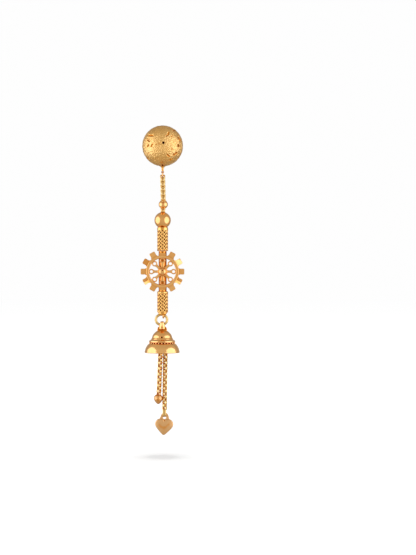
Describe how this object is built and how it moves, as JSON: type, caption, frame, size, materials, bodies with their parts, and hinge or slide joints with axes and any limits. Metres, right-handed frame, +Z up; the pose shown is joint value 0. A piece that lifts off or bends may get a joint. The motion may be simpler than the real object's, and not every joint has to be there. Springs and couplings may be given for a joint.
{
  "type": "chain drop earring",
  "caption": "Long gold drop earring: ball stud, loop-in-loop chain, beads, woven tubes, cog wheel, and a bell from which belcher chains hang with an acorn bead and a heart.",
  "frame": {"origin": "where the ear post leaves the back of the stud ball, against the front of the ear lobe", "axes": "+X to the right of a viewer who faces the earring, +Y away from the viewer along the ear post, +Z up"},
  "size_m": [0.0122, 0.0224, 0.0868],
  "materials": {
    "gold": "polished yellow gold",
    "gold_engraved": "finely engraved yellow gold",
    "gold_woven": "woven yellow gold wire",
    "gold_satin": "satin yellow gold"
  },
  "bodies": {
    "stud": {"stud_ball": "gold_engraved", "ear_post": "gold"},
    "top_ring": {"top_ring": "gold"},
    "drop": {"upper_chain": "gold", "spacer_bead": "gold", "round_bead": "gold", "upper_mesh_tube": "gold_woven", "cog_wheel": "gold", "lower_mesh_tube": "gold_woven"},
    "jump_ring": {"jump_ring": "gold"},
    "bell": {"bell_link": "gold", "bell": "gold", "short_chain_1": "gold", "short_chain_2": "gold", "short_chain_3": "gold", "acorn_bead": "gold", "long_chain_1": "gold", "long_chain_2": "gold", "long_chain_3": "gold", "long_chain_4": "gold", "heart_ring": "gold", "heart_pendant": "gold_satin"}
  },
  "joints": [
    {"name": "ring_sway", "type": "hinge", "parent": "stud", "child": "top_ring", "pos_m": [0, -0.00575, -0.00736], "axis": [0, 1, 0], "range_deg": [-60, 60]},
    {"name": "drop_swing", "type": "hinge", "parent": "top_ring", "child": "drop", "pos_m": [0, -0.00575, -0.00804], "axis": [1, 0, 0], "range_deg": [-60, 60]},
    {"name": "bell_sway", "type": "hinge", "parent": "drop", "child": "jump_ring", "pos_m": [0, -0.00575, -0.0481], "axis": [0, 1, 0], "range_deg": [-20, 20]},
    {"name": "bell_swing", "type": "hinge", "parent": "jump_ring", "child": "bell", "pos_m": [-0.00014, -0.00575, -0.05007], "axis": [1, 0, 0], "range_deg": [-60, 60]}
  ]
}
